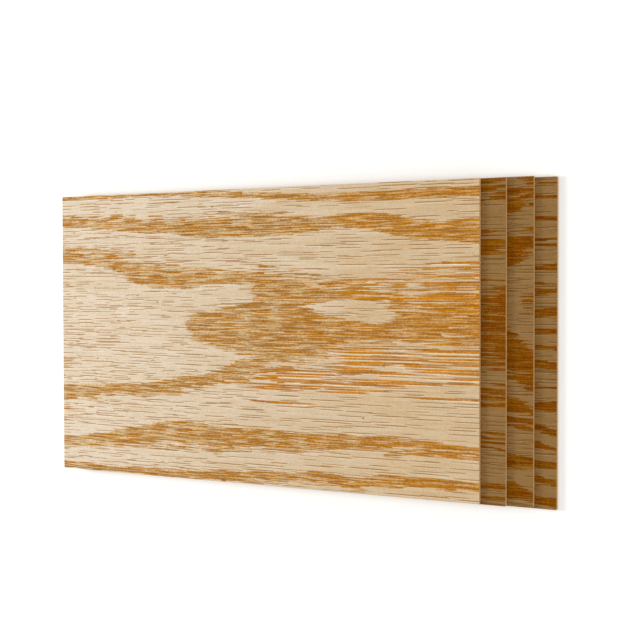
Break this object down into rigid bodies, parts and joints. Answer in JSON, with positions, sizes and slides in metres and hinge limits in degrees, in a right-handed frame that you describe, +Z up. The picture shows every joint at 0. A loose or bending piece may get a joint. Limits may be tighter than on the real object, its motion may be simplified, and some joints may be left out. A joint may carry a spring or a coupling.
{
  "type": "stack of plywood sheets",
  "caption": "Flat stack of thin oak-faced plywood sheets, fanned lengthwise so that each sheet's end shows past the one on it; raw sheet stock for cutting and panelling.",
  "frame": {"origin": "on the floor, under the middle of the stack's outline", "axes": "+X along the sheets and their face grain, towards the ends that show; +Y across the sheets; +Z up"},
  "size_m": [0.5806, 0.306, 0.0128],
  "materials": {
    "oak_plywood": "sanded bare oak veneer, unfinished"
  },
  "bodies": {
    "root": {"sheet_bottom": "oak_plywood", "sheet_third": "oak_plywood", "sheet_second": "oak_plywood", "sheet_top": "oak_plywood"}
  },
  "joints": []
}
